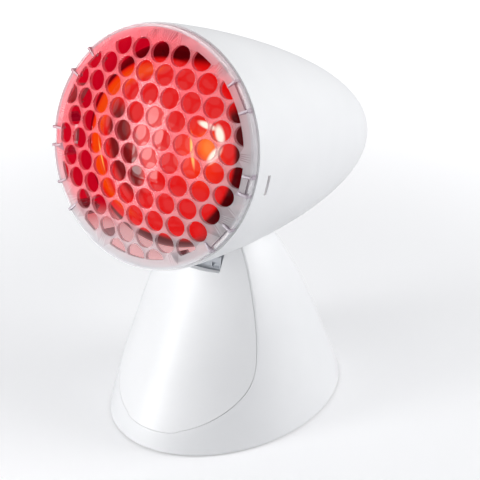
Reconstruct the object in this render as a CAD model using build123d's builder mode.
"""Infrared heat therapy lamp: a red reflector bulb in a bullet-shaped head that tilts on a bell-shaped foot.

Millimetres, +Z up.  The lamp's front faces -Y.  The origin lies on the surface that the lamp stands on,
under the middle of its length and width.
The head is drawn in its resting tilt, which is the lowest of its five click positions.
"""

import os
from math import cos, hypot, radians, sin, sqrt, tan

from build123d import *

# ---------------------------------------------------------------- driving dimensions

# Placing of the head over the foot
GRILLE_Y = -82.1  # centre of the grille's rim, in front of the origin
GRILLE_Z = 154.7  # and its height
REST_TILT = 15.0  # degrees that the grille looks up at rest
TILT_RANGE = 30.0  # degrees that the head tilts up from rest
CLICK_STEP = 7.5  # degrees between click positions

# Bulb, R95 size with an E27 cap
BULB_DIAMETER = 95.0
BULB_LENGTH = 138.0
BULB_FACE = 24.0  # depth of the domed face
BULB_FACE_GAP = 4.7  # bulb's face behind the dome's apex
BULB_GLASS = 1.2
QUARTER = 0.5523  # handle of a curve that draws a quarter of an ellipse
REFLECTOR_BULGE = 34.0  # handles of the reflector's curve, behind the widest ring
REFLECTOR_WAIST = 40.0
NECK_END = 12.0  # where the neck starts to close, in front of the cap
GLASS_TUCK = 4.0  # glass inside the cap
NECK_DIAMETER = 33.0
NECK_DEPTH = 100.0  # where the reflector has narrowed to the neck, behind the face
CAP_DIAMETER = 26.4
CAP_LENGTH = 22.0
CAP_SHEET = 0.5
CAP_GAP = 0.1  # between the glass and the cap
CAP_INSULATOR = 2.2
STEM_RADIUS = 4.0
STEM_REACH = 40.0  # stem's tip in front of the cap
FILAMENT_RADIUS = 11.0
FILAMENT_WIRE = 0.7  # radius of the coiled filament
LEAD_WIRE = 0.5
FILAMENT_REACH = 24.0  # filament in front of the stem's tip

# Head shell
SHELL_CLEARANCE = 8.5  # between the bulb and the shell's outline
SHELL_RADIUS = BULB_DIAMETER / 2 + SHELL_CLEARANCE
SHELL_LENGTH = 185.0
SHELL_TAPER = 1.486  # exponents of the bullet's outline
SHELL_ROUND = 2.109
SHELL_WALL = 2.2
SHELL_SETBACK = 2.6  # front edge of the shell behind the grille's rim, so also the flange's thickness
VENT_COUNT = 7
VENT_PITCH = 6.0
VENT_WIDTH = 2.6
VENT_LENGTH = 26.0
VENT_DEPTH = 146.0  # middle of the vents behind the rim

# Grille
RIM_STEP = 1.0  # grille's rim inside the shell's outline
RIM_RADIUS = SHELL_RADIUS - RIM_STEP
DOME_RISE = 8.1  # apex of the dome in front of the rim
DOME_RADIUS = 177.0
GRILLE_PLATE = 2.4
HOLE_PITCH = 10.6
HOLE_DIAMETER = 9.4
BORDER = 7.1  # plain border between the holes and the rim
FIELD_RADIUS = RIM_RADIUS - BORDER  # circle that trims the outermost holes
BEAD_WIDTH = 1.3
BEAD_HEIGHT = 1.0
BEAD_CUT = 0.5  # how far inside the bead its gaps at the clips start
SKIRT_WALL = 1.8
SKIRT_DEPTH = 9.0
SKIRT_GAP = 1.0  # between the skirt and the shell
RIB_WIDTH = 1.5
RIB_HEIGHT = 1.9
CLIP_ANGLES = (36.0, 144.0, 216.0, 324.0)  # round the rim, from +X towards the top
LATCH_ANGLES = (-6.0, 186.0)  # the two clips that snap into windows of the shell
CLIP_HALF_ANGLE = 7.3
LATCH_HALF_ANGLE = 4.4
WINDOW_DEPTH = 12.9  # middle of a window behind the rim
WINDOW_HEIGHT = 2.4  # along the barrel
WINDOW_LENGTH = 9.2  # round the barrel
HOOK_PROUD = 1.3  # hook above its snap arm
SNAP_PLAY = 0.3
SNAP_TIP = 2.5  # end of a snap arm past the middle of its window
RIB_INSET = 0.6  # ribs start this far outside the holes
RIB_END = 0.3  # and end this far inside the rim

# Lamp holder
HOLDER_BODY = 42.0
HOLDER_COLLAR = 37.0
HOLDER_BORE = 29.4
HOLDER_FLOOR = 9.0
HOLDER_RIM = 4.0  # collar's edge in front of the bulb cap's rim
COLLAR_LENGTH = 8.0
THREAD_SHEET = 0.8
THREAD_GAP = 0.3  # between cap, thread and bore
CONTACT_WIDTH = 7.0
CONTACT_SHEET = 0.6
POST_SPACING = 18.0
POST_DIAMETER = 8.0

# Heat shield
SHIELD_SHEET = 0.8
SHIELD_GAP = 3.6  # between the shield and the shell
SHIELD_FRONT = 44.0  # front edge behind the rim
SHADE_RING = 46.0
SHADE_RING_LENGTH = 5.0
SLIDE_GAP = 0.15  # ring and shield on the collar

# Foot
FOOT_HALF_WIDTH = 54.4
FOOT_HALF_DEPTH = 70.9
FOOT_CENTRE_Y = -22.8
FOOT_LEAN = -0.062  # drift of the section's centre with height
BELL_CLOSE_FRONT = 116.1  # height at which the bell's front outline would close
BELL_CLOSE_SIDE = 108.5  # and its side outline
BELL_ROUND = 1.917
BELL_WALL = 2.4
BELL_TOP = 104.0
FOOT_LIFT = 1.0  # bottom edge of the bell above the ground

# Front panel: a leaning cone trims the bell
FACET_RADIUS = 49.3
FACET_CONE = 0.126
FACET_FRONT_Y = -96.34
FACET_LEAN = 29.73
FACET_SWEEP = 0.00031
PANEL_THICKNESS = 2.6
LEAF_FOOT_Z = 9.3  # lowest point of the leaf's outline
PANEL_BORDER = 0.6  # rim of the bell that shows round the panel
PANEL_GAP = 0.2
PANEL_SEAT = 0.05
LEDGE_WIDTH = 2.4
LEDGE_THICKNESS = 2.0

# Neck, slot and hinge
SLOT_HALF_WIDTH = 14.0
SLOT_LIP_Z = 81.5  # top of the panel between the ears
CHEEK_WALL = 3.4
CHEEK_BOTTOM_Z = 46.0
SADDLE_GAP = 0.7  # between the barrel and the ears
HINGE_Y = -4.7
HINGE_Z = 78.0
HINGE_PIN = 4.0
HINGE_CLEARANCE = 0.05  # on the radius
KNUCKLE_RADIUS = 6.5
ARM_HALF_WIDTH = 12.0
ARM_SEAT = 0.1  # between the arm's pad and the barrel
ARM_PAD = 4.5
ARM_WEB = 2.4
ARM_SPOKE = 4.0
PAD_FRONT = 51.0  # ends of the pad behind the rim
PAD_REAR = 93.0
ARM_SCREW_DEPTHS = (60.0, 82.0)
ARM_SCREW_SPREAD = 15.0
WASHER = 1.7
WASHER_DIAMETER = 12.0
ARC_RADIUS = 41.0  # front face of the click arc, from the hinge
ARC_THICKNESS = 4.0
ARC_ABOVE = 22.0  # degrees that the arc reaches above and below the hinge
ARC_BELOW = 42.0
NOTCH_COUNT = 7
NOTCH_FIRST = 7.0  # degrees of the top notch above the hinge
NOTCH_RADIUS = 1.2
NOTCH_LENGTH = 5.0

# Click spring
SPRING_SHEET = 0.6
SPRING_CLEARANCE = 0.3  # between the spring's crest and the arc
SPRING_NOTCH = 2  # notch that the spring holds at rest, counted from the top one
BAR_HEIGHT = 10.0  # bar between the cheeks that carries the spring
BAR_Z = 56.0
BAR_THICKNESS = 3.0
BAR_BACK_Y = -55.7

# Bottom of the foot
PLATE_THICKNESS = 2.0
PLATE_GAP = 0.3
FEET_DIAMETER = 12.0
FEET_SINK = 0.6  # feet let into the plate
FRONT_FEET = (31.0, -66.7)
REAR_FEET = (25.0, 25.3)
FRONT_BOSSES = (38.0, -34.7)
REAR_BOSSES = (36.0, 3.3)
BOSS_DIAMETER = 8.0
SCREW_DIAMETER = 3.0
SCREW_HEAD = 5.6
SCREW_HEAD_HEIGHT = 2.0
SCREW_BITE = 7.0  # length of thread in a boss

# Cord inlet and terminal
CORD_BORE = 6.8
GLAND_Z = 14.0
GLAND_NECK = 10.0
GLAND_HEAD = 14.0
GLAND_HEAD_LENGTH = 3.0
GLAND_SEAT_Y = 36.3
GLAND_WALL = 3.0
CLAMP_Y = 17.3
CLAMP_SPACING = 18.0
CLAMP_BAR = (26.0, 8.0, 3.0)
BLOCK_Y = -6.7
BLOCK_SIZE = (20.0, 16.0, 11.0)
BLOCK_SPACING = 9.0

# ---------------------------------------------------------------- shared planes and forms

COVER = 400.0  # larger than the lamp, for cuts that run right through it

forward = Vector(0, -cos(radians(REST_TILT)), sin(radians(REST_TILT)))
grille_centre = Vector(0, GRILLE_Y, GRILLE_Z)
face_plane = Plane(grille_centre, x_dir=(1, 0, 0), z_dir=forward)  # across the barrel, local y up
head_up = face_plane.y_dir
axis_plane = Plane(grille_centre, x_dir=(1, 0, 0), z_dir=-head_up)  # along the barrel, local y forward
barrel_axis = Axis(grille_centre, forward)
hinge_axis = Axis((0, HINGE_Y, HINGE_Z), (1, 0, 0))
facet_slope = tan(radians(FACET_LEAN))
panel_depth = PANEL_THICKNESS / cos(radians(FACET_LEAN))
recess_depth = (PANEL_THICKNESS + PANEL_SEAT) / cos(radians(FACET_LEAN))
plate_bottom = FOOT_LIFT + 0.2
plate_top = plate_bottom + PLATE_THICKNESS


def shell_radius(depth, inset=0.0):
    """Radius of the bullet at a depth behind the grille's rim."""
    share = (depth / (SHELL_LENGTH - inset)) ** SHELL_TAPER
    return (SHELL_RADIUS - inset) * (1 - share) ** (1 / SHELL_ROUND)


def bullet(inset=0.0, front=0.0):
    """Solid bullet inside the shell's outline, set in by a distance and cut off at the front."""
    length = SHELL_LENGTH - inset
    outline = [(shell_radius(length * step, inset), -length * step) for step in
               (0, 0.15, 0.3, 0.45, 0.6, 0.74, 0.86, 0.94, 0.985)]
    with BuildPart() as solid:
        with BuildSketch(axis_plane):
            with BuildLine():
                curve = Spline(*outline, (0, -length), tangents=[(0, -1), (-1, 0)])
                Polyline(curve @ 1, (0, 0), curve @ 0)
            make_face()
        revolve(axis=barrel_axis)
        if front:
            split(bisect_by=face_plane.offset(-front), keep=Keep.BOTTOM)
    return solid.part


def lifted(shape, angle):
    """The shape turned about the hinge, as when the head is tilted up."""
    return shape.rotate(hinge_axis, -angle)


def bell_section(z):
    """Half width, half depth and centre of the bell's ellipse at a height."""
    half_width = FOOT_HALF_WIDTH * (1 - z / BELL_CLOSE_FRONT) ** (1 / BELL_ROUND)
    half_depth = FOOT_HALF_DEPTH * (1 - z / BELL_CLOSE_SIDE) ** (1 / BELL_ROUND)
    return half_width, half_depth, FOOT_CENTRE_Y + FOOT_LEAN * z


def bell(inset):
    """Solid bell of elliptical sections, set in by a distance."""
    with BuildPart() as solid:
        for step in (0, 0.15, 0.3, 0.45, 0.6, 0.74, 0.86, 0.94, 1):
            z = FOOT_LIFT + (BELL_TOP - FOOT_LIFT) * step
            half_width, half_depth, centre = bell_section(z)
            with BuildSketch(Plane.XY.offset(z)):
                with Locations((0, centre)):
                    Ellipse(half_width - inset, half_depth - inset)
        loft()
    return solid.part


def facet_front(z):
    """Front of the leaning cone at a height."""
    return FACET_FRONT_Y + facet_slope * z - FACET_SWEEP * z**2


def before_facet(setback):
    """Everything in front of the leaning cone that trims the bell, moved back by a distance."""
    with BuildPart() as solid:
        for z in (-5, 25, 55, 85, 115):
            front = facet_front(z) + setback
            radius = FACET_RADIUS - FACET_CONE * z
            side = 0.95 * radius
            side_y = front + radius - sqrt(radius**2 - side**2)
            with BuildSketch(Plane.XY.offset(z)):
                with BuildLine():
                    ThreePointArc((-side, side_y), (0, front), (side, side_y))
                    Polyline((side, side_y), (side, -COVER / 2), (-side, -COVER / 2), (-side, side_y))
                make_face()
        loft()
    return solid.part


def crease(z):
    """Half width of the leaf where the leaning cone and the bell meet, at a height."""
    half_width, half_depth, centre = bell_section(z)
    radius = FACET_RADIUS - FACET_CONE * z
    low, high = 0, 0.999 * min(half_width, radius)
    for _ in range(40):
        x = (low + high) / 2
        bell_y = centre - half_depth * sqrt(1 - (x / half_width) ** 2)
        cone_y = facet_front(z) + radius - sqrt(radius**2 - x**2)
        low, high = (x, high) if bell_y < cone_y else (low, x)
    return low


def leaf(inset):
    """Upright prism of the leaf's outline as seen from the front, set in by a distance."""
    right = []
    for z in (LEAF_FOOT_Z + 2, 16, 24, 34, 46, 60, 76, 92, BELL_TOP - 1):
        inwards = Vector(-1, 5 * (crease(z + 0.1) - crease(z - 0.1))).normalized()
        right.append((crease(z) + inset * inwards.X, z + inset * inwards.Y))
    left = [(-x, z) for x, z in reversed(right)]
    with BuildPart() as solid:
        with BuildSketch(Plane.XZ):
            with BuildLine():
                edge = Spline(*left, (0, LEAF_FOOT_Z + inset), *right)
                Line(edge @ 0, edge @ 1)
            make_face()
        extrude(amount=COVER, both=True)
    return solid.part


def save(node, name):
    """Label a finished piece and write it."""
    node.part.label = name
    export_step(node.part, f"parts/{name}.step")


os.makedirs("parts", exist_ok=True)

# ---------------------------------------------------------------- head shell

clips = [(angle, CLIP_HALF_ANGLE) for angle in CLIP_ANGLES]
clips += [(angle, LATCH_HALF_ANGLE) for angle in LATCH_ANGLES]
bulb_face = BULB_FACE_GAP - DOME_RISE  # depths behind the rim, from here on
cap_rim = bulb_face + BULB_LENGTH - CAP_LENGTH
cap_end = bulb_face + BULB_LENGTH
collar_front = cap_rim - HOLDER_RIM
holder_shoulder = collar_front + COLLAR_LENGTH
holder_floor = cap_end + 3 * CONTACT_SHEET + THREAD_GAP
holder_back = holder_floor + HOLDER_FLOOR
arm_screws_at = [(side * ARM_SCREW_SPREAD / 2, depth) for side in (-1, 1) for depth in ARM_SCREW_DEPTHS]
screw_radius = SCREW_DIAMETER / 2
screw_clearance = screw_radius + 0.1
washer_boss = 1.2  # flat boss under an arm screw's head, above the shell's inner face


def round_rim(angle, radius, depth):
    """Place at a polar position behind the rim, with local x pointing outwards."""
    return face_plane.offset(-depth).location * Rot(0, 0, angle) * Pos(radius, 0, 0)


def under_barrel(x, depth, radius):
    """Plane across a radius below the barrel's axis, facing down."""
    return Plane(axis_plane.from_local_coords((x, -depth, radius)), x_dir=(1, 0, 0), z_dir=-head_up)


with BuildPart() as shell_cavity:
    add(bullet(SHELL_WALL))
    with BuildSketch(face_plane.offset(-holder_back)):
        with GridLocations(POST_SPACING, 0, 2, 1):
            Circle(POST_DIAMETER / 2)
    extrude(amount=-COVER, mode=Mode.SUBTRACT)
    for x, depth in arm_screws_at:
        inner = shell_radius(depth) - SHELL_WALL - washer_boss
        with BuildSketch(under_barrel(x, depth, inner)):
            Circle(SCREW_HEAD / 2 + 1)
        extrude(amount=COVER, mode=Mode.SUBTRACT)

with BuildPart() as head_shell:
    add(bullet(front=SHELL_SETBACK))
    add(shell_cavity.part, mode=Mode.SUBTRACT)
    for angle in LATCH_ANGLES:
        with Locations(round_rim(angle, SHELL_RADIUS, WINDOW_DEPTH)):
            Box(4 * SHELL_WALL, WINDOW_LENGTH, WINDOW_HEIGHT, mode=Mode.SUBTRACT)
    pocket = shell_radius(WINDOW_DEPTH) - SHELL_WALL / 2
    for angle in CLIP_ANGLES:
        with Locations(round_rim(angle, pocket, WINDOW_DEPTH)):
            Box(8, WINDOW_LENGTH, WINDOW_HEIGHT, align=(Align.MAX, Align.CENTER, Align.CENTER),
                mode=Mode.SUBTRACT)
    with BuildSketch(axis_plane.offset(shell_radius(VENT_DEPTH) / 2)):
        with Locations((0, -VENT_DEPTH)):
            with GridLocations(VENT_PITCH, 0, VENT_COUNT, 1):
                SlotOverall(VENT_LENGTH, VENT_WIDTH, rotation=90)
    extrude(amount=COVER, mode=Mode.SUBTRACT)
    for x, depth in arm_screws_at:
        with BuildSketch(under_barrel(x, depth, 0)):
            Circle(screw_clearance)
        extrude(amount=COVER, mode=Mode.SUBTRACT)
    with BuildSketch(face_plane.offset(-holder_back)):
        with GridLocations(POST_SPACING, 0, 2, 1):
            Circle(screw_radius)
    extrude(amount=-SCREW_BITE, mode=Mode.SUBTRACT)
save(head_shell, "head_shell")

# ---------------------------------------------------------------- grille

skirt_outer = SHELL_RADIUS - SHELL_WALL - SKIRT_GAP
skirt_inner = skirt_outer - SKIRT_WALL
skirt_end = SHELL_SETBACK + SKIRT_DEPTH
bead_inner = RIM_RADIUS - BEAD_WIDTH
snap_end = WINDOW_DEPTH + SNAP_TIP
dome_centre = DOME_RISE - DOME_RADIUS
row_pitch = HOLE_PITCH * sqrt(3) / 2
hole_rows = int(FIELD_RADIUS / row_pitch)
hole_centres = []
for row in range(-hole_rows, hole_rows + 1):
    shift = 0 if row % 2 else HOLE_PITCH / 2
    for step in range(-hole_rows - 1, hole_rows + 2):
        centre = (step * HOLE_PITCH + shift, row * row_pitch)
        if hypot(*centre) < FIELD_RADIUS:
            hole_centres.append(centre)

dome_place = face_plane.location * Pos(0, 0, dome_centre) * Rot(0, 90, 0)  # the spheres' poles lie beside the dome

with BuildPart() as front_grille:
    with BuildSketch(face_plane.offset(-SHELL_SETBACK)):
        Circle((skirt_outer + bead_inner) / 2)
    extrude(amount=SHELL_SETBACK + DOME_RISE + 1)
    with Locations(dome_place):
        Sphere(DOME_RADIUS, mode=Mode.INTERSECT)
        Sphere(DOME_RADIUS - GRILLE_PLATE, mode=Mode.SUBTRACT)
    with BuildSketch(axis_plane):
        with BuildLine():
            Polyline((skirt_inner, 0), (bead_inner, 0), (bead_inner, BEAD_HEIGHT), (RIM_RADIUS, BEAD_HEIGHT),
                     (RIM_RADIUS, -SHELL_SETBACK), (skirt_outer, -SHELL_SETBACK), (skirt_outer, -skirt_end),
                     (skirt_inner, -skirt_end), (skirt_inner, 0))
        make_face()
    revolve(axis=barrel_axis)
    for angle, half_angle in clips:
        span = radians(half_angle)
        edge = RIM_RADIUS * sin(span)
        with Locations(round_rim(angle, RIM_RADIUS, -BEAD_HEIGHT)):
            Box(2 * (BEAD_WIDTH + BEAD_CUT), 2 * edge - RIB_WIDTH, 2 * BEAD_HEIGHT, mode=Mode.SUBTRACT)
        for side in (-1, 1):
            with Locations(round_rim(angle + side * half_angle, FIELD_RADIUS + RIB_INSET, -RIB_HEIGHT)):
                Box(BORDER - RIB_INSET - RIB_END, RIB_WIDTH, RIB_HEIGHT + GRILLE_PLATE,
                    align=(Align.MIN, Align.CENTER, Align.MAX))
            with Locations(round_rim(angle + side * half_angle, skirt_inner, skirt_end)):
                Box(4 * SKIRT_WALL, 1.0, 2 * (SKIRT_DEPTH - 2), mode=Mode.SUBTRACT)
    with BuildSketch(face_plane.offset(-skirt_end + 1)):
        for angle, half_angle in clips:
            with Locations(Rot(0, 0, angle) * Pos(skirt_outer, 0, 0)):
                Rectangle(4 * SKIRT_WALL, 2 * skirt_outer * sin(radians(half_angle)) - 2)
        Circle(skirt_outer, mode=Mode.INTERSECT)
        Circle(skirt_inner, mode=Mode.SUBTRACT)
    extrude(amount=-(snap_end - skirt_end + 1))
    for angle in CLIP_ANGLES + LATCH_ANGLES:
        proud = HOOK_PROUD if angle in LATCH_ANGLES else HOOK_PROUD / 2
        with Locations(round_rim(angle, skirt_outer - 0.5, WINDOW_DEPTH)):
            Box(proud + 0.5, WINDOW_LENGTH - 2 * SNAP_PLAY - 2, WINDOW_HEIGHT - 2 * SNAP_PLAY,
                align=(Align.MIN, Align.CENTER, Align.CENTER))
    with BuildSketch(face_plane):
        with Locations(*hole_centres):
            Circle(HOLE_DIAMETER / 2)
        Circle(FIELD_RADIUS, mode=Mode.INTERSECT)
    extrude(amount=2 * DOME_RISE, both=True, mode=Mode.SUBTRACT)
save(front_grille, "front_grille")

# ---------------------------------------------------------------- bulb

bulb_radius = BULB_DIAMETER / 2
cap_radius = CAP_DIAMETER / 2
neck_radius = NECK_DIAMETER / 2
cap_inside = cap_radius - CAP_SHEET
stem_tip = cap_rim - STEM_REACH
insulator_start = cap_end - CAP_INSULATOR


def bulb_outline(inset):
    """Half outline of the bulb's glass, from the middle of its face to its end inside the cap."""
    wide = bulb_face + BULB_FACE
    neck = bulb_face + NECK_DEPTH
    widest = bulb_radius - inset
    narrow = neck_radius - inset
    mouth = cap_inside - CAP_GAP - inset
    face = Bezier((0, -bulb_face - inset), (QUARTER * widest, -bulb_face - inset),
                  (widest, -wide + QUARTER * (BULB_FACE - inset)), (widest, -wide))
    reflector = Bezier(face @ 1, (widest, -wide - REFLECTOR_BULGE), (narrow, -wide - REFLECTOR_WAIST),
                       (narrow, -neck))
    ends = [(narrow, -cap_rim + NECK_END), (mouth, -cap_rim + 2), (mouth, -cap_rim - GLASS_TUCK)]
    return face, reflector, Polyline(reflector @ 1, *ends)


with BuildPart() as bulb_glass:
    with BuildSketch(axis_plane):
        with BuildLine():
            outer = bulb_outline(0)
            inner = bulb_outline(BULB_GLASS)
            Line(outer[0] @ 0, inner[0] @ 0)
            Line(outer[2] @ 1, inner[2] @ 1)
        make_face()
    revolve(axis=barrel_axis)
save(bulb_glass, "bulb_glass")

with BuildPart() as bulb_cap:
    with BuildSketch(face_plane.offset(-cap_rim)):
        Circle(cap_radius)
    extrude(amount=-(insulator_start - cap_rim))
    with BuildSketch(face_plane.offset(-cap_rim)):
        Circle(cap_inside)
    extrude(amount=-(insulator_start - cap_rim - CAP_SHEET), mode=Mode.SUBTRACT)
save(bulb_cap, "bulb_cap")

with BuildPart() as bulb_contact:
    with BuildSketch(face_plane.offset(-insulator_start)):
        Circle(cap_radius * 0.7)
    extrude(amount=-CAP_INSULATOR, taper=45)
save(bulb_contact, "bulb_contact")

with BuildPart() as bulb_stem:
    flare = cap_inside - 0.2 - BULB_GLASS
    with BuildSketch(axis_plane):
        with BuildLine():
            Polyline((0, -stem_tip), (STEM_RADIUS, -stem_tip - 2), (STEM_RADIUS, -cap_rim + 2),
                     (flare, -cap_rim - 1), (flare, -cap_rim - 3), (0, -cap_rim - 3), (0, -stem_tip))
        make_face()
    revolve(axis=barrel_axis)
save(bulb_stem, "bulb_stem")


def wire(start, end, radius):
    """Straight wire between two places given along the barrel's own axes."""
    points = [face_plane.from_local_coords(place) for place in (start, end)]
    along = points[1] - points[0]
    with BuildPart() as rod:
        with BuildSketch(Plane(points[0], z_dir=along)):
            Circle(radius)
        extrude(amount=along.length)
    return rod.part


with BuildPart() as bulb_filament:
    plane = face_plane.offset(-(stem_tip - FILAMENT_REACH))
    with BuildLine(plane):
        coil = CenterArc((0, 0), FILAMENT_RADIUS, 0, 180)
    with BuildSketch(Plane(coil @ 0, z_dir=coil % 0)):
        Circle(FILAMENT_WIRE)
    sweep(path=coil)
    for x, y in ((1, 0), (-1, 0), (0, 1)):
        foot = (2 * x, 2 * y, -stem_tip - 1.5)
        add(wire(foot, (FILAMENT_RADIUS * x, FILAMENT_RADIUS * y, -stem_tip + FILAMENT_REACH), LEAD_WIRE))
    add(bulb_stem.part, mode=Mode.SUBTRACT)
save(bulb_filament, "bulb_filament")

# ---------------------------------------------------------------- lamp holder and heat shield

bore_radius = HOLDER_BORE / 2
thread_inside = cap_radius + THREAD_GAP
collar_radius = HOLDER_COLLAR / 2

with BuildPart() as lamp_holder:
    with BuildSketch(axis_plane):
        with BuildLine():
            Polyline((bore_radius, -collar_front), (collar_radius, -collar_front),
                     (collar_radius, -holder_shoulder), (HOLDER_BODY / 2, -holder_shoulder),
                     (HOLDER_BODY / 2, -holder_back), (0, -holder_back), (0, -holder_floor),
                     (bore_radius, -holder_floor), (bore_radius, -collar_front))
        make_face()
    revolve(axis=barrel_axis)
    with BuildSketch(face_plane.offset(-holder_floor)):
        with GridLocations(POST_SPACING, 0, 2, 1):
            Circle(screw_clearance)
    extrude(amount=-COVER, mode=Mode.SUBTRACT)
save(lamp_holder, "lamp_holder")

with BuildPart() as holder_thread:
    with BuildSketch(face_plane.offset(-cap_rim)):
        Circle(thread_inside + THREAD_SHEET)
        Circle(thread_inside, mode=Mode.SUBTRACT)
    extrude(amount=-(holder_floor - cap_rim))
save(holder_thread, "holder_thread")

with BuildPart() as holder_contact:
    low = -holder_floor + CONTACT_SHEET / 2
    high = -cap_end - THREAD_GAP / 2 - CONTACT_SHEET / 2
    with BuildSketch(Plane(grille_centre, x_dir=head_up, z_dir=(1, 0, 0))):
        with BuildLine():
            Polyline((-7, low), (5, low), (7, (low + high) / 2), (3, high), (-3, high))
        trace(line_width=CONTACT_SHEET)
    extrude(amount=CONTACT_WIDTH / 2, both=True)
save(holder_contact, "holder_contact")


def pan_screw(plane, length):
    """Pan-head screw whose head stands on the plane and whose thread goes down from it."""
    with BuildPart() as screw:
        with BuildSketch(plane):
            Circle(SCREW_HEAD / 2)
        extrude(amount=SCREW_HEAD_HEIGHT)
        fillet(screw.edges().sort_by(Axis(plane.origin, plane.z_dir))[-1], 0.6)
        with BuildSketch(plane):
            Circle(screw_radius)
        extrude(amount=-length)
    return screw.part


with BuildPart() as holder_screws:
    for x in (-POST_SPACING / 2, POST_SPACING / 2):
        floor = Plane(face_plane.from_local_coords((x, 0, -holder_floor)), x_dir=(1, 0, 0), z_dir=forward)
        add(pan_screw(floor, HOLDER_FLOOR + SCREW_BITE))
save(holder_screws, "holder_screws")


def shield_edge(inset):
    """Points down the side of the shield, at a distance inside the shell's outline."""
    end = holder_shoulder - (inset - SHELL_WALL - SHIELD_GAP)
    depths = [SHIELD_FRONT + (end - SHIELD_FRONT) * step for step in (0, 0.2, 0.4, 0.6, 0.8, 1)]
    return [(shell_radius(depth) - inset, -depth) for depth in depths]


with BuildPart() as heat_shield:
    hole = collar_radius + SLIDE_GAP
    with BuildSketch(axis_plane):
        with BuildLine():
            outside = Spline(*shield_edge(SHELL_WALL + SHIELD_GAP))
            inside = Spline(*shield_edge(SHELL_WALL + SHIELD_GAP + SHIELD_SHEET))
            Line(outside @ 0, inside @ 0)
            Polyline(outside @ 1, (hole, -holder_shoulder), (hole, -holder_shoulder + SHIELD_SHEET), inside @ 1)
        make_face()
    revolve(axis=barrel_axis)
save(heat_shield, "heat_shield")

with BuildPart() as shade_ring:
    with BuildSketch(face_plane.offset(-holder_shoulder + SHIELD_SHEET)):
        Circle(SHADE_RING / 2)
        Circle(hole, mode=Mode.SUBTRACT)
    extrude(amount=SHADE_RING_LENGTH)
save(shade_ring, "shade_ring")

# ---------------------------------------------------------------- hinge arm

arc_low = radians(ARC_BELOW)
hinge = Plane((0, HINGE_Y, HINGE_Z), x_dir=(0, 1, 0), z_dir=(1, 0, 0))
pin_radius = HINGE_PIN / 2
arm_bore = pin_radius + HINGE_CLEARANCE

with BuildPart() as hinge_arm:
    add(bullet(-ARM_SEAT - ARM_PAD))
    with BuildSketch(face_plane.offset(-PAD_FRONT)):
        Rectangle(2 * ARM_HALF_WIDTH, COVER, align=(Align.CENTER, Align.MAX))
    extrude(amount=-(PAD_REAR - PAD_FRONT), mode=Mode.INTERSECT)
    with BuildSketch(hinge):
        with BuildLine():
            front = CenterArc((0, 0), ARC_RADIUS, 180 - ARC_ABOVE, ARC_ABOVE + ARC_BELOW)
            back = CenterArc((0, 0), ARC_RADIUS - ARC_THICKNESS, 180 - ARC_ABOVE, ARC_ABOVE + ARC_BELOW)
            Line(front @ 0, back @ 0)
            Line(front @ 1, back @ 1)
        make_face()
        Rectangle(ARC_RADIUS - 1, ARM_SPOKE, rotation=180 + ARC_BELOW - 3, align=(Align.MIN, Align.CENTER))
        Circle(KNUCKLE_RADIUS)
    extrude(amount=ARM_HALF_WIDTH, both=True)
    with BuildSketch(hinge):
        with BuildLine():
            rim = CenterArc((0, 0), ARC_RADIUS - 1, 180 - ARC_ABOVE, ARC_ABOVE + ARC_BELOW - 3)
            Polyline(rim @ 1, (0, 0), (0, KNUCKLE_RADIUS + 4), rim @ 0)
        make_face()
    extrude(amount=ARM_WEB / 2, both=True)
    add(bullet(-ARM_SEAT), mode=Mode.SUBTRACT)
    with BuildSketch(hinge):
        Circle(arm_bore)
    extrude(amount=COVER, both=True, mode=Mode.SUBTRACT)
    with BuildSketch(hinge.offset(ARM_HALF_WIDTH - NOTCH_LENGTH)):
        for notch in range(NOTCH_COUNT):
            angle = radians(180 - NOTCH_FIRST + CLICK_STEP * notch)
            with Locations((ARC_RADIUS * cos(angle), ARC_RADIUS * sin(angle))):
                Circle(NOTCH_RADIUS)
    extrude(amount=NOTCH_LENGTH - 0.6, mode=Mode.SUBTRACT)
    for x, depth in arm_screws_at:
        with BuildSketch(under_barrel(x, depth, shell_radius(depth) - SHELL_WALL)):
            Circle(screw_radius)
        extrude(amount=SHELL_WALL + SCREW_BITE, mode=Mode.SUBTRACT)
save(hinge_arm, "hinge_arm")

with BuildPart() as arm_screws:
    for x, depth in arm_screws_at:
        seat = under_barrel(x, depth, shell_radius(depth) - SHELL_WALL - washer_boss)
        head = Plane(seat.origin, x_dir=(1, 0, 0), z_dir=-seat.z_dir)
        add(pan_screw(head, washer_boss + SHELL_WALL + ARM_PAD))
save(arm_screws, "arm_screws")

# ---------------------------------------------------------------- foot

cheek_outer = SLOT_HALF_WIDTH + CHEEK_WALL
boss_radius = BOSS_DIAMETER / 2
gland_pocket = GLAND_HEAD / 2 + 0.2
bosses = [(side * x, y) for x, y in (FRONT_BOSSES, REAR_BOSSES) for side in (-1, 1)]
feet = [(side * x, y) for x, y in (FRONT_FEET, REAR_FEET) for side in (-1, 1)]
tilts = (0, TILT_RANGE / 2, TILT_RANGE)
saddle = bullet(-SADDLE_GAP)
saddle_roof = bullet(-SADDLE_GAP - BELL_WALL)
bar_bottom = BAR_Z - BAR_HEIGHT / 2
spring_x = ARM_HALF_WIDTH - NOTCH_LENGTH / 2 - 0.3


def along_y(x, y, z):
    """Plane across the lamp's length, facing backwards."""
    return Plane((x, y, z), x_dir=(-1, 0, 0), z_dir=(0, 1, 0))


with BuildPart() as ledge:
    add(before_facet(recess_depth + LEDGE_THICKNESS))
    add(leaf(PANEL_BORDER + LEDGE_WIDTH), mode=Mode.SUBTRACT)
    split(bisect_by=Plane.XY.offset(plate_top + PLATE_GAP), keep=Keep.TOP)

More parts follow.
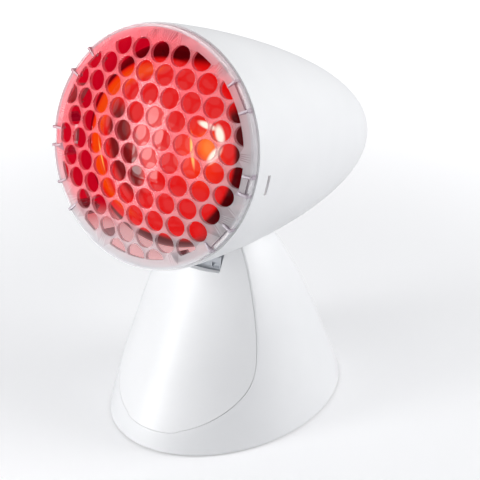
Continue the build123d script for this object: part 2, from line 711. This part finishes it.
with BuildPart() as foot_cavity:
    add(bell(BELL_WALL))
    for angle in tilts:
        add(lifted(saddle_roof, angle), mode=Mode.SUBTRACT)
    for side in (-1, 1):
        with Locations((side * (SLOT_HALF_WIDTH + CHEEK_WALL / 2), 0, CHEEK_BOTTOM_Z)):
            Box(CHEEK_WALL, COVER, COVER, align=(Align.CENTER, Align.CENTER, Align.MIN), mode=Mode.SUBTRACT)
    with Locations((0, BAR_BACK_Y, BAR_Z)):
        Box(2 * SLOT_HALF_WIDTH, BAR_THICKNESS, BAR_HEIGHT, align=(Align.CENTER, Align.MAX, Align.CENTER),
            mode=Mode.SUBTRACT)
    with BuildSketch(Plane.XY.offset(plate_top)):
        with Locations(*bosses):
            Circle(boss_radius)
    extrude(amount=COVER, mode=Mode.SUBTRACT)
    with BuildSketch(along_y(0, GLAND_SEAT_Y - GLAND_WALL, GLAND_Z)):
        Circle(gland_pocket + BELL_WALL)
    extrude(amount=COVER, mode=Mode.SUBTRACT)
    add(ledge.part, mode=Mode.SUBTRACT)

with BuildPart() as recess:
    add(leaf(PANEL_BORDER))
    add(before_facet(recess_depth), mode=Mode.INTERSECT)

with BuildPart() as base_shell:
    add(bell(0))
    for angle in tilts:
        add(lifted(saddle, angle), mode=Mode.SUBTRACT)
    add(before_facet(0), mode=Mode.SUBTRACT)
    add(recess.part, mode=Mode.SUBTRACT)
    add(foot_cavity.part, mode=Mode.SUBTRACT)
    with Locations((0, HINGE_Y + KNUCKLE_RADIUS + 2.5, HINGE_Z - KNUCKLE_RADIUS)):
        Box(2 * SLOT_HALF_WIDTH, COVER, COVER, align=(Align.CENTER, Align.MAX, Align.MIN), mode=Mode.SUBTRACT)
    with BuildSketch(hinge):
        Circle(pin_radius + 0.02)
    extrude(amount=cheek_outer, both=True, mode=Mode.SUBTRACT)
    with BuildSketch(Plane.XY.offset(plate_top)):
        with Locations(*bosses):
            Circle(screw_radius)
    extrude(amount=SCREW_BITE, mode=Mode.SUBTRACT)
    with BuildSketch(along_y(0, GLAND_SEAT_Y, GLAND_Z)):
        Circle(gland_pocket)
    extrude(amount=COVER, mode=Mode.SUBTRACT)
    with BuildSketch(along_y(0, GLAND_SEAT_Y, GLAND_Z)):
        Circle(GLAND_NECK / 2 + 0.1)
    extrude(amount=-2 * GLAND_WALL, mode=Mode.SUBTRACT)
    with BuildSketch(along_y(spring_x, BAR_BACK_Y, BAR_Z)):
        Circle(screw_radius)
    extrude(amount=-BAR_THICKNESS, mode=Mode.SUBTRACT)
save(base_shell, "base_shell")

with BuildPart() as front_panel:
    add(leaf(PANEL_BORDER + PANEL_GAP))
    add(before_facet(panel_depth), mode=Mode.INTERSECT)
    add(before_facet(0), mode=Mode.SUBTRACT)
    add(saddle, mode=Mode.SUBTRACT)
    with Locations((0, 0, SLOT_LIP_Z)):
        Box(2 * SLOT_HALF_WIDTH, COVER, COVER, align=(Align.CENTER, Align.CENTER, Align.MIN), mode=Mode.SUBTRACT)
save(front_panel, "front_panel")

with BuildPart() as base_plate:
    half_width, half_depth, centre = bell_section(plate_top)
    inset = BELL_WALL + PLATE_GAP
    cord_bottom = GLAND_Z - CORD_BORE / 2
    cord_top = GLAND_Z + CORD_BORE / 2
    with BuildSketch(Plane.XY.offset(plate_bottom)):
        with Locations((0, centre)):
            Ellipse(half_width - inset, half_depth - inset)
    extrude(amount=PLATE_THICKNESS)
    with BuildSketch(Plane.XY.offset(plate_top)):
        with Locations((0, CLAMP_Y)):
            Rectangle(CLAMP_SPACING, CLAMP_BAR[1] / 2)
    extrude(amount=cord_bottom - plate_top)
    with BuildSketch(Plane.XY.offset(plate_top)):
        with Locations((0, CLAMP_Y)):
            with GridLocations(CLAMP_SPACING, 0, 2, 1):
                Circle(CLAMP_BAR[1] / 2 - 0.5)
    extrude(amount=cord_top - plate_top)
    with BuildSketch(Plane.XY.offset(cord_top)):
        with Locations((0, CLAMP_Y)):
            with GridLocations(CLAMP_SPACING, 0, 2, 1):
                Circle(screw_radius)
    extrude(amount=-SCREW_BITE, mode=Mode.SUBTRACT)
    with BuildSketch(Plane.XY.offset(plate_bottom)):
        with Locations(*feet):
            Circle(FEET_DIAMETER / 2 + 0.1)
    extrude(amount=FEET_SINK, mode=Mode.SUBTRACT)
    with Locations(*[(x, y, plate_bottom) for x, y in bosses]):
        Cone(SCREW_HEAD / 2 + 0.1, screw_clearance, SCREW_HEAD / 2 - screw_radius,
             align=(Align.CENTER, Align.CENTER, Align.MIN), mode=Mode.SUBTRACT)
        Cylinder(screw_clearance, COVER, mode=Mode.SUBTRACT)
save(base_plate, "base_plate")

with BuildPart() as base_screws:
    for x, y in bosses:
        with BuildSketch(Plane.XZ.offset(-y)):
            with BuildLine():
                Polyline((x, plate_bottom), (x + SCREW_HEAD / 2, plate_bottom),
                         (x + screw_radius, plate_bottom + SCREW_HEAD / 2 - screw_radius),
                         (x + screw_radius, plate_top + SCREW_BITE - 1), (x, plate_top + SCREW_BITE - 1),
                         (x, plate_bottom))
            make_face()
        revolve(axis=Axis((x, y, 0), (0, 0, 1)))
save(base_screws, "base_screws")

with BuildPart() as rubber_feet:
    with BuildSketch():
        with Locations(*feet):
            Circle(FEET_DIAMETER / 2)
    extrude(amount=plate_bottom + FEET_SINK)
    chamfer(rubber_feet.edges().group_by(Axis.Z)[0], 0.4)
save(rubber_feet, "rubber_feet")

# ---------------------------------------------------------------- hinge pin, washers and click spring

with BuildPart() as hinge_pin:
    with BuildSketch(hinge):
        Circle(pin_radius)
    extrude(amount=cheek_outer, both=True)
    chamfer(hinge_pin.edges().filter_by(GeomType.CIRCLE), 0.4)
save(hinge_pin, "hinge_pin")

with BuildPart() as hinge_washers:
    for side in (-1, 1):
        with BuildSketch(hinge.offset(side * (ARM_HALF_WIDTH + SLOT_HALF_WIDTH) / 2)):
            Circle(WASHER_DIAMETER / 2)
            Circle(arm_bore, mode=Mode.SUBTRACT)
        extrude(amount=WASHER / 2, both=True)
save(hinge_washers, "hinge_washers")

with BuildPart() as detent_spring:
    crest_angle = radians(180 - NOTCH_FIRST + CLICK_STEP * SPRING_NOTCH)
    reach = ARC_RADIUS + SPRING_CLEARANCE + SPRING_SHEET / 2
    crest = (HINGE_Y + reach * cos(crest_angle), HINGE_Z + reach * sin(crest_angle))
    back_y = BAR_BACK_Y + SPRING_SHEET / 2
    with BuildSketch(Plane.YZ.offset(spring_x)):
        with BuildLine():
            Polyline((back_y, bar_bottom + 1), (back_y, BAR_Z + BAR_HEIGHT / 2 + 1), crest,
                     (crest[0] - 1.6, crest[1] + 3.4))
        trace(line_width=SPRING_SHEET)
    extrude(amount=NOTCH_LENGTH / 2 - 0.6, both=True)
    with BuildSketch(along_y(spring_x, BAR_BACK_Y, BAR_Z)):
        Circle(screw_clearance)
    extrude(amount=COVER, mode=Mode.SUBTRACT)
save(detent_spring, "detent_spring")

with BuildPart() as detent_screw:
    add(pan_screw(along_y(spring_x, BAR_BACK_Y + SPRING_SHEET, BAR_Z), SPRING_SHEET + BAR_THICKNESS - 0.2))
save(detent_screw, "detent_screw")

# ---------------------------------------------------------------- cord inlet, clamp and terminal

with BuildPart() as cord_gland:
    inner_flange = GLAND_SEAT_Y - GLAND_WALL
    with BuildSketch(along_y(0, GLAND_SEAT_Y, GLAND_Z)):
        Circle(GLAND_HEAD / 2)
    extrude(amount=GLAND_HEAD_LENGTH)
    fillet(cord_gland.edges().sort_by(Axis.Y)[-1], 1)
    with BuildSketch(along_y(0, GLAND_SEAT_Y, GLAND_Z)):
        Circle(GLAND_NECK / 2)
    extrude(amount=-GLAND_WALL)
    with BuildSketch(along_y(0, inner_flange, GLAND_Z)):
        Circle(GLAND_NECK / 2 + 1.2)
    extrude(amount=-GLAND_HEAD_LENGTH, taper=10)
    with BuildSketch(along_y(0, inner_flange, GLAND_Z)):
        Circle(CORD_BORE / 2)
    extrude(amount=COVER, both=True, mode=Mode.SUBTRACT)
save(cord_gland, "cord_gland")

with BuildPart() as cord_clamp:
    with BuildSketch(Plane.XY.offset(cord_top)):
        with Locations((0, CLAMP_Y)):
            RectangleRounded(CLAMP_BAR[0], CLAMP_BAR[1], 3)
            with GridLocations(CLAMP_SPACING, 0, 2, 1):
                Circle(screw_clearance, mode=Mode.SUBTRACT)
    extrude(amount=CLAMP_BAR[2])
save(cord_clamp, "cord_clamp")

with BuildPart() as clamp_screws:
    for side in (-1, 1):
        seat = Plane((side * CLAMP_SPACING / 2, CLAMP_Y, cord_top + CLAMP_BAR[2]))
        add(pan_screw(seat, CLAMP_BAR[2] + SCREW_BITE - 1))
save(clamp_screws, "clamp_screws")

well_depth = BLOCK_SIZE[2] / 2
block_top = plate_top + BLOCK_SIZE[2]

with BuildPart() as terminal_block:
    with BuildSketch(Plane.XY.offset(plate_top)):
        with Locations((0, BLOCK_Y)):
            RectangleRounded(BLOCK_SIZE[0], BLOCK_SIZE[1], 1.5)
    extrude(amount=BLOCK_SIZE[2])
    with BuildSketch(Plane.XY.offset(block_top)):
        with Locations((0, BLOCK_Y)):
            with GridLocations(BLOCK_SPACING, BLOCK_SPACING, 2, 2):
                Circle(screw_radius + 0.5)
    extrude(amount=-well_depth, mode=Mode.SUBTRACT)
    with BuildSketch(Plane.XZ.offset(-BLOCK_Y)):
        with Locations((0, plate_top + BLOCK_SIZE[2] / 4)):
            with GridLocations(BLOCK_SPACING, 0, 2, 1):
                Circle(screw_radius)
    extrude(amount=BLOCK_SIZE[1], both=True, mode=Mode.SUBTRACT)
save(terminal_block, "terminal_block")

with BuildPart() as terminal_screws:
    with BuildSketch(Plane.XY.offset(block_top - well_depth)):
        with Locations((0, BLOCK_Y)):
            with GridLocations(BLOCK_SPACING, BLOCK_SPACING, 2, 2):
                Circle(screw_radius + 0.3)
    extrude(amount=well_depth - 1)
save(terminal_screws, "terminal_screws")
